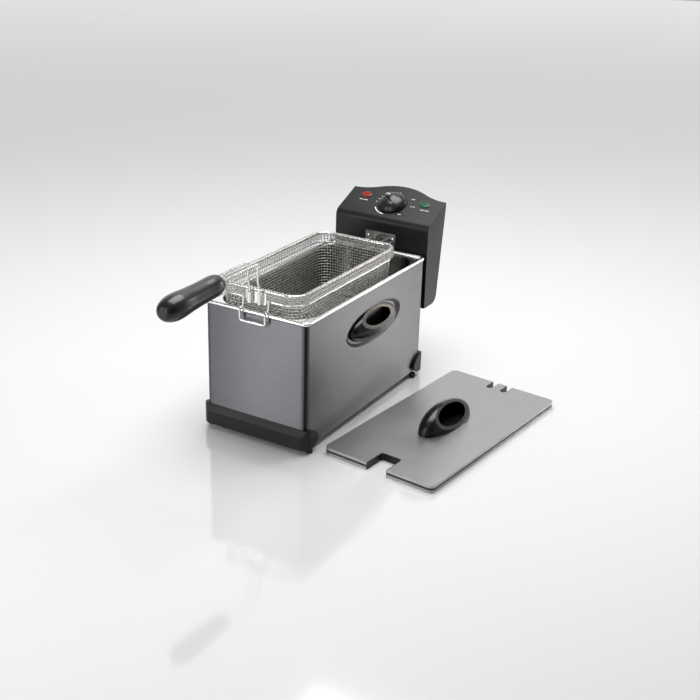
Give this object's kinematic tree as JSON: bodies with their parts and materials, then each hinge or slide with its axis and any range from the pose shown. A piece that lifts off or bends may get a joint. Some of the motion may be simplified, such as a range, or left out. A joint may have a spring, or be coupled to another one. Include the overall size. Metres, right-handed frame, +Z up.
{
  "type": "deep fryer",
  "caption": "Countertop deep fryer with lift-out oil tank, lift-off control head, hanging wire basket and a separate lid.",
  "frame": {"origin": "on the table, under the middle of the steel casing", "axes": "+Z up; the front with the basket handle faces -Y and the control head is at +Y; +X is the right side, where the lid lies on the table"},
  "size_m": [0.3916, 0.584, 0.2589],
  "materials": {
    "casing_steel": "brushed, satin",
    "pan_steel": "plain sheet",
    "trim_black": "fine texture, satin",
    "foot_rubber": "soft black",
    "handle_black": "gloss",
    "screw_steel": "zinc plated",
    "rail_plastic": "plain moulded",
    "tank_steel": "bright satin",
    "head_black": "satin, fine grain",
    "lamp_red": "translucent moulded lens",
    "lamp_green": "translucent moulded lens",
    "inner_plastic": "plain moulded",
    "knob_black": "satin gloss",
    "mark_white": "printed white",
    "brass": "plain",
    "element_steel": "heat-darkened",
    "bracket_steel": "plain sheet",
    "basket_chrome": "chromed wire",
    "grip_black": "gloss",
    "lid_steel": "brushed, satin",
    "button_red": "moulded"
  },
  "bodies": {
    "body": {"outer_casing": "casing_steel", "bottom_pan": "pan_steel", "front_base_trim": "trim_black", "rear_base_trim": "trim_black", "foot_front_left": "foot_rubber", "foot_front_right": "foot_rubber", "foot_rear_left": "foot_rubber", "foot_rear_right": "foot_rubber", "base_screws": "screw_steel", "side_handle_right": "handle_black", "side_handle_left": "handle_black", "side_handle_screws": "screw_steel", "head_rail": "rail_plastic", "rail_rivets": "screw_steel", "interlock_tab": "rail_plastic"},
    "oil_tank": {"oil_tank": "tank_steel"},
    "control_head": {"head_front_shell": "head_black", "head_rear_cover": "head_black", "head_screws": "screw_steel", "cord_gland": "trim_black", "thermal_cutout": "inner_plastic", "red_lamp_lens": "lamp_red", "green_lamp_lens": "lamp_green", "red_lamp_holder": "inner_plastic", "green_lamp_holder": "inner_plastic", "thermostat": "inner_plastic", "interlock_microswitch": "inner_plastic", "terminal_block": "inner_plastic", "element_bracket": "bracket_steel", "bracket_screws": "screw_steel", "heating_element": "element_steel", "sensor_bulb": "element_steel"},
    "knob": {"control_knob": "knob_black", "knob_pointer": "mark_white", "thermostat_spindle": "brass"},
    "reset_button": {"reset_button": "button_red"},
    "basket": {"basket_rim": "basket_chrome", "basket_mesh": "basket_chrome", "basket_upper_ring": "basket_chrome", "basket_lower_ring": "basket_chrome", "basket_hook": "basket_chrome", "handle_sockets": "basket_chrome"},
    "basket_handle": {"handle_wire_left": "basket_chrome", "handle_wire_right": "basket_chrome", "grip_upper": "grip_black", "grip_lower": "grip_black", "grip_screw": "screw_steel"},
    "lid": {"lid_skin": "lid_steel", "lid_liner": "pan_steel", "lid_notch_frame": "trim_black", "lid_slot_linings": "trim_black", "lid_handle": "handle_black", "lid_handle_screws": "screw_steel"}
  },
  "joints": [
    {"name": "tank_lift", "type": "slide", "parent": "body", "child": "oil_tank", "axis": [0, 0, 1], "range_m": [0, 0.15]},
    {"name": "head_lift", "type": "slide", "parent": "oil_tank", "child": "control_head", "axis": [0, 0, 1], "range_m": [0, 0.13]},
    {"name": "knob_turn", "type": "hinge", "parent": "control_head", "child": "knob", "pos_m": [0, 0.20098, 0.24191], "axis": [0, -0.3987, 0.9171], "range_deg": [-166, 104]},
    {"name": "reset_press", "type": "slide", "parent": "control_head", "child": "reset_button", "axis": [0, -1, 0], "range_m": [0, 0.002], "stiffness_N_per_m": 400},
    {"name": "basket_lift", "type": "slide", "parent": "control_head", "child": "basket", "axis": [0, 0, 1], "range_m": [0, 0.12]},
    {"name": "handle_release", "type": "slide", "parent": "basket", "child": "basket_handle", "axis": [0, 0, 1], "range_m": [0, 0.03]},
    {"name": "lid_lift", "type": "slide", "parent": "body", "child": "lid", "axis": [0, 0, 1], "range_m": [0, 0.08]}
  ]
}
